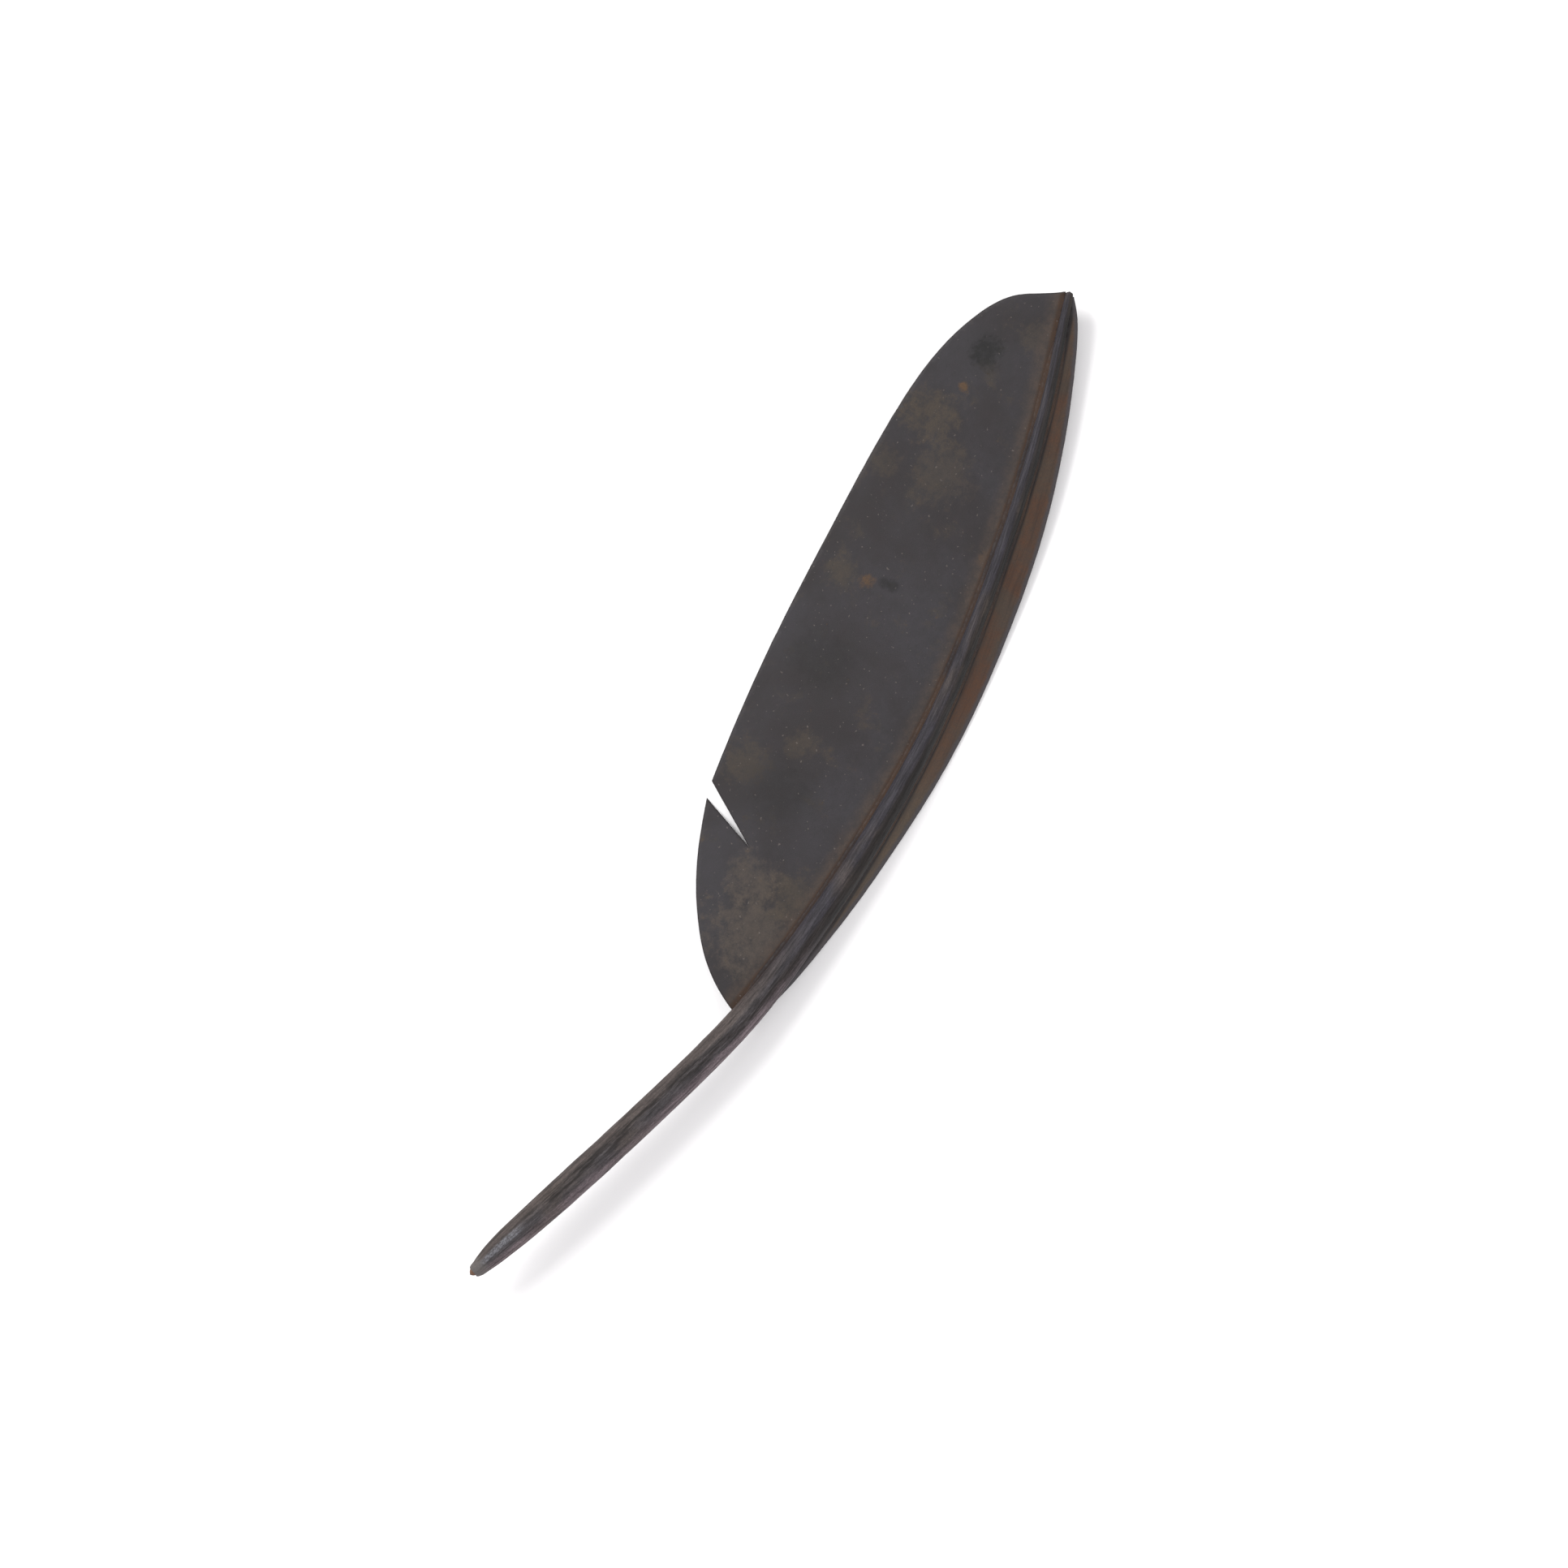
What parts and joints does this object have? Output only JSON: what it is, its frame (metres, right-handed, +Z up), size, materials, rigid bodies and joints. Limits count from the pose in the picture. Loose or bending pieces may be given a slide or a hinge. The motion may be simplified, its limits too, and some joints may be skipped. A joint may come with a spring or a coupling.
{
  "type": "quill pen",
  "caption": "Forged steel feather-shaped pen: drilled barrel with a slim ballpoint refill, curved rachis and two sheet vanes.",
  "frame": {"origin": "middle of the footprint, on the surface that the pen lies on", "axes": "+X from the writing point to the feather tip, +Y towards the broad vane, +Z up"},
  "size_m": [0.2506, 0.05, 0.0119],
  "materials": {
    "blackened_steel": "forged, fire-blackened and waxed, satin",
    "blackened_sheet": "fire-blackened sheet, mottled satin with brown heat tint",
    "braze": "oxidised brown brazed bead",
    "refill_tube": "drawn brass tube, satin",
    "refill_point": "turned, tarnished brown",
    "hard_ball": "polished tungsten carbide",
    "ink": "black oil-based ink"
  },
  "bodies": {
    "quill": {"spine": "blackened_steel", "broad_vane": "blackened_sheet", "narrow_vane": "blackened_sheet", "broad_seam": "braze", "narrow_seam": "braze"},
    "refill": {"refill_tube": "refill_tube", "refill_point": "refill_point", "ink": "ink"},
    "ball": {"writing_ball": "hard_ball"}
  },
  "joints": [
    {"name": "refill_slide", "type": "slide", "parent": "quill", "child": "refill", "axis": [-0.9613, 0.2736, 0.0317], "range_m": [0, 0.07]},
    {"name": "ball_roll", "type": "hinge", "parent": "refill", "child": "ball", "pos_m": [-0.12487, 0.00643, 0.00932], "axis": [0.2737, 0.9618, 0], "continuous": true}
  ]
}
